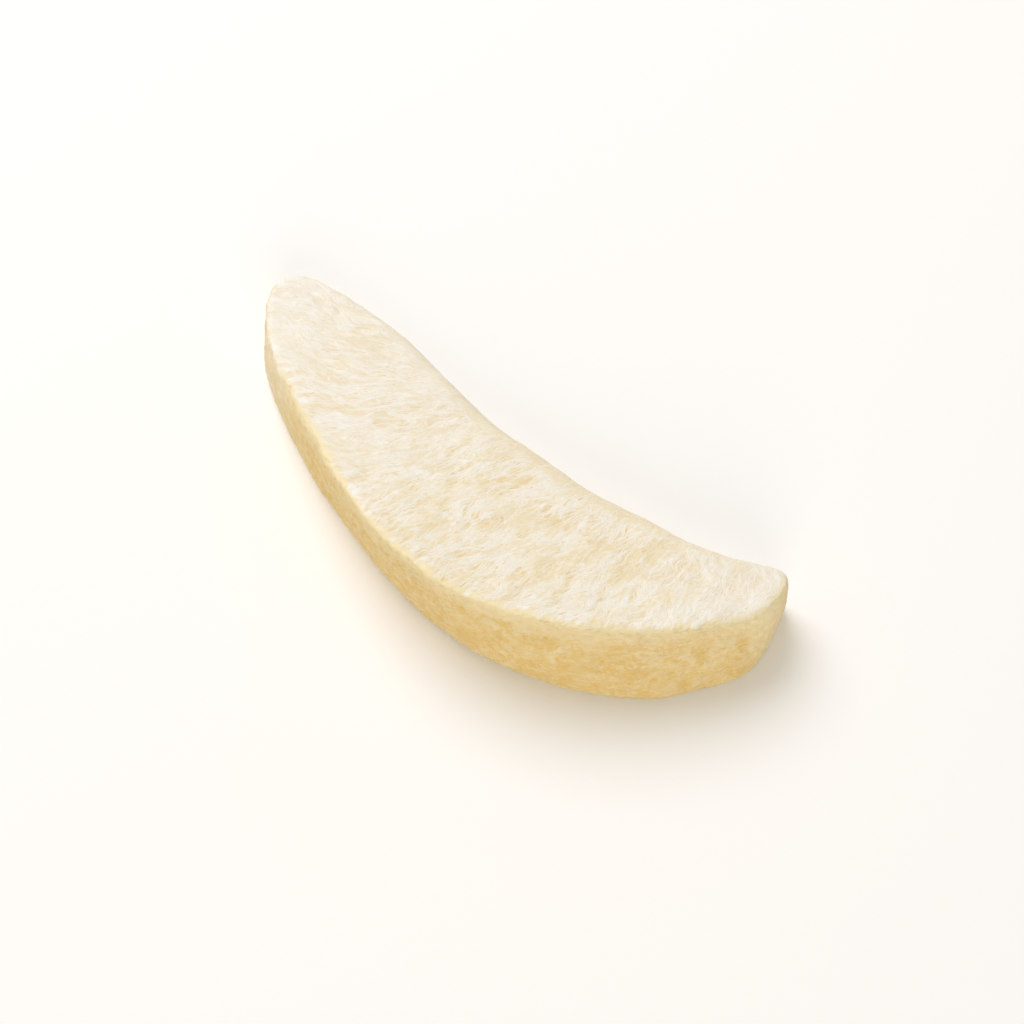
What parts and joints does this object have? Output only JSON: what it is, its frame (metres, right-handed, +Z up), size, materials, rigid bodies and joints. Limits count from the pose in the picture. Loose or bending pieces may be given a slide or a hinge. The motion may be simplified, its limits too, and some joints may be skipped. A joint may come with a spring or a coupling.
{
  "type": "freeze-dried pear slice",
  "caption": "Crescent wedge of peeled, cored, freeze-dried pear, thick at its peeled side and thin at its core side, lying on one cut face.",
  "frame": {"origin": "on the surface that the slice rests on, below the middle of its box", "axes": "+X from the stem end to the blossom end, +Y from the peeled side to the core side, +Z up"},
  "size_m": [0.0666, 0.0256, 0.0117],
  "materials": {
    "flesh": "dry, matt, porous cream flesh with fine fibres"
  },
  "bodies": {
    "root": {"pear_slice": "flesh"}
  },
  "joints": []
}
